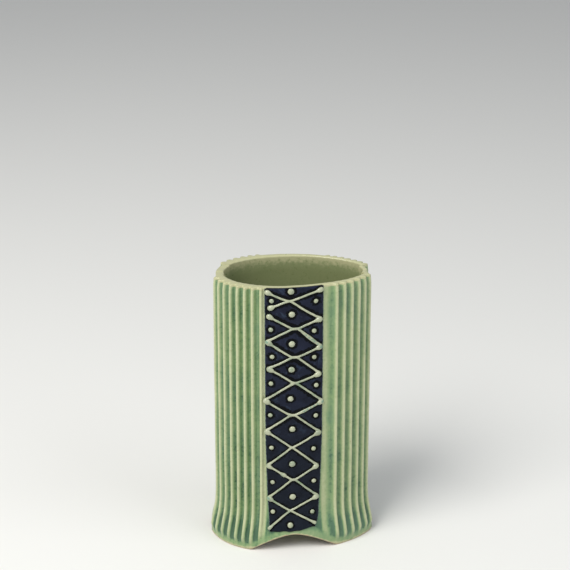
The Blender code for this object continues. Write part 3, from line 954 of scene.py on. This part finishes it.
def latticeCross(i, centre, mat):
    bm = bmesh.new()
    bar = Vector((slipLook["bars"][i], 0.0))
    dropChain(bm, centre / mm - bar, centre / mm + bar, lambda along, length: slipLook["hub"], i + 40)
    pools = []
    for k, end in enumerate(arms(i)):
        middle = centre / mm + bar * (1 if k % 2 else -1)
        drop = endDrop(i, k)
        tip = end / mm
        tip -= (tip - middle).normalized() * 0.5 * drop
        lump = slipLook["lumps"].get((i, k), (0.5, 0.1, 0.0))
        dropChain(bm, middle, tip, armRadius(drop, lump), i * 4 + k)
        if (i, k) in slipLook["greenArms"]:
            pools += [(*middle.lerp(tip, share), 0.8) for share in (0.35, 0.48, 0.6, 0.72, 0.86)]
    if i in slipLook["greenLeft"]:
        pools.append((*(leftNodes[i] / mm), 1.3))
    if i in slipLook["greenRight"]:
        pools.append((*(rightNodes[i] / mm), 1.4))
    bm = fusedMesh(bm, slipLook["voxel"])
    slipOnPanel(bm, f"latticeCross{i + 1}", mat, f"lattice_cross_{i + 1}", pools)


slipMaterial = slipGlaze("paleSlip", slipLook, 0.0)
beadMaterial = slipGlaze("beadSlip", slipLook, 23.0)
for i, centre in enumerate(crossings):
    latticeCross(i, centre, slipMaterial)
print("lattice made")

beadLook = {"fineness": 4, "uneven": 0.10, "ragged": 0.09, "dome": 0.50, "peak": 0.22}


def slipBead(k, name, spot, radius, mat):
    look = beadLook
    bm = bmesh.new()
    bmesh.ops.create_icosphere(bm, subdivisions=look["fineness"], radius=1.0)
    size = radius / mm * (1.0 + look["uneven"] * wobble(k, 0.3, 16))
    for vert in bm.verts:
        x, y, z = vert.co
        ragged = 1.0 + look["ragged"] * wobble(x * 1.2 + k, y * 1.2, 17)
        peak = 1.0 + look["peak"] * max(0.0, z) ** 6 * (1.0 + wobble(k, 0.9, 18))
        vert.co = Vector((x * size * ragged, y * size * ragged, z * size * look["dome"] * peak))
        vert.co += Vector((spot.x / mm, spot.y / mm, slipLook["lift"]))
    column, kind, number = name.split("_")
    slipOnPanel(bm, f"{column}Bead{number}", mat, name)


for k, (name, spot, radius) in enumerate(beadSpots):
    slipBead(k, name, spot, radius, beadMaterial)
print("beads made:", len(beadSpots))

# floor of the set, light and camera

floorLook = {"size": 8.0, "colour": (0.83, 0.825, 0.80), "roughness": 0.75, "specular": 0.2}
bm = bmesh.new()
bmesh.ops.create_grid(bm, x_segments=2, y_segments=2, size=0.5 * floorLook["size"])
floorMesh = bpy.data.meshes.new("table")
bm.to_mesh(floorMesh)
bm.free()
table = bpy.data.objects.new("table", floorMesh)
bpy.context.scene.collection.objects.link(table)
tableMat, _, tableShader = newMaterial("tablePaper")
tableShader.inputs["Base Color"].default_value = (*floorLook["colour"], 1.0)
tableShader.inputs["Roughness"].default_value = floorLook["roughness"]
tableShader.inputs["Specular IOR Level"].default_value = floorLook["specular"]
floorMesh.materials.append(tableMat)


def softBox(name, place, aim, size, power, colour):
    light = bpy.data.lights.new(name, "AREA")
    light.shape = "RECTANGLE"
    light.size, light.size_y = size
    light.energy = power
    light.color = colour
    lamp = bpy.data.objects.new(name, light)
    bpy.context.scene.collection.objects.link(lamp)
    lamp.location = place
    lamp.rotation_euler = (Vector(aim) - Vector(place)).to_track_quat("-Z", "Y").to_euler()


lightLook = {"key": 24.0, "fill": 4.0, "sky": 0.40, "skyColour": (0.93, 0.96, 1.0)}
softBox("keyLight", (-0.75, -0.70, 1.35), (0.0, 0.0, 0.08), (0.9, 0.9), lightLook["key"], (1.0, 0.985, 0.95))
softBox("fillLight", (0.9, -0.5, 0.9), (0.0, 0.0, 0.08), (0.8, 0.8), lightLook["fill"], (0.95, 0.98, 1.0))
world = bpy.data.worlds.new("studio")
world.use_nodes = True
background = world.node_tree.nodes["Background"]
background.inputs["Color"].default_value = (*lightLook["skyColour"], 1.0)
background.inputs["Strength"].default_value = lightLook["sky"]
bpy.context.scene.world = world

cameraLook = {"place": (-0.0239, -0.6982, 0.4429), "pitch": 22.3, "yaw": 1.61, "lens": 84.33}
cameraData = bpy.data.cameras.new("camera")
cameraData.lens = cameraLook["lens"]
cameraData.sensor_width = 36.0
camera = bpy.data.objects.new("camera", cameraData)
bpy.context.scene.collection.objects.link(camera)
camera.location = cameraLook["place"]
camera.rotation_euler = (math.radians(90.0 - cameraLook["pitch"]), 0.0, -math.radians(cameraLook["yaw"]))
bpy.context.scene.camera = camera
bpy.context.scene.view_settings.view_transform = "Standard"
